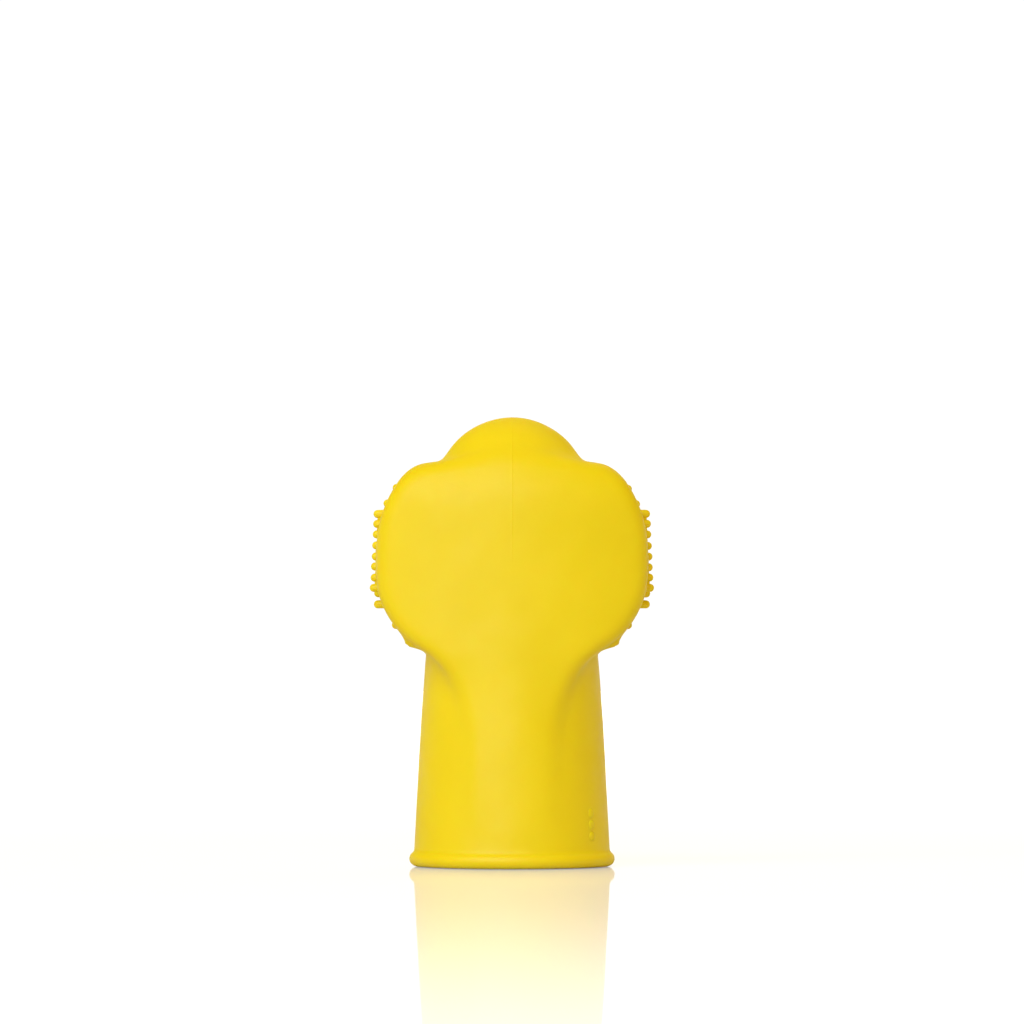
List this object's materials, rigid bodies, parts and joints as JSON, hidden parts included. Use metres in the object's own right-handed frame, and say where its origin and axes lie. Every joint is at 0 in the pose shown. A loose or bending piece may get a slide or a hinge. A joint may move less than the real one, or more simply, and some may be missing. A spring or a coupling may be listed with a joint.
{
  "type": "finger toothbrush",
  "caption": "Soft silicone finger toothbrush: a tapered thimble with a smooth crowned back, a domed tip and a pad of short bristles on its far side.",
  "frame": {"origin": "centre of the open mouth, in the plane that the brush stands on", "axes": "+Z along the finger, from the mouth to the fingertip; the smooth back faces -Y and the bristles face +X, +Y and -X"},
  "size_m": [0.0346, 0.0257, 0.0545],
  "materials": {
    "silicone": "satin"
  },
  "bodies": {
    "moulded_body": {"mouth_bead": "silicone", "finger_sleeve": "silicone", "fingertip_dome": "silicone", "back_hood": "silicone", "bristle_pad": "silicone"},
    "right_bristles": {"bristle_column_01": "silicone", "bristle_column_02": "silicone", "bristle_column_03": "silicone", "bristle_column_04": "silicone", "bristle_column_05": "silicone", "bristle_column_06": "silicone", "bristle_column_07": "silicone"},
    "back_bristles": {"bristle_column_08": "silicone", "bristle_column_09": "silicone", "bristle_column_10": "silicone", "bristle_column_11": "silicone", "bristle_column_12": "silicone", "bristle_column_13": "silicone", "bristle_column_14": "silicone"},
    "left_bristles": {"bristle_column_15": "silicone", "bristle_column_16": "silicone", "bristle_column_17": "silicone", "bristle_column_18": "silicone", "bristle_column_19": "silicone", "bristle_column_20": "silicone", "bristle_column_21": "silicone"}
  },
  "joints": [
    {"name": "right_bristles_bend", "type": "slide", "parent": "moulded_body", "child": "right_bristles", "axis": [0, 0, 1], "range_m": [-0.0009, 0.0009], "stiffness_N_per_m": 1500},
    {"name": "back_bristles_bend", "type": "slide", "parent": "moulded_body", "child": "back_bristles", "axis": [0, 0, 1], "range_m": [-0.0009, 0.0009], "stiffness_N_per_m": 1500},
    {"name": "left_bristles_bend", "type": "slide", "parent": "moulded_body", "child": "left_bristles", "axis": [0, 0, 1], "range_m": [-0.0009, 0.0009], "stiffness_N_per_m": 1500}
  ]
}
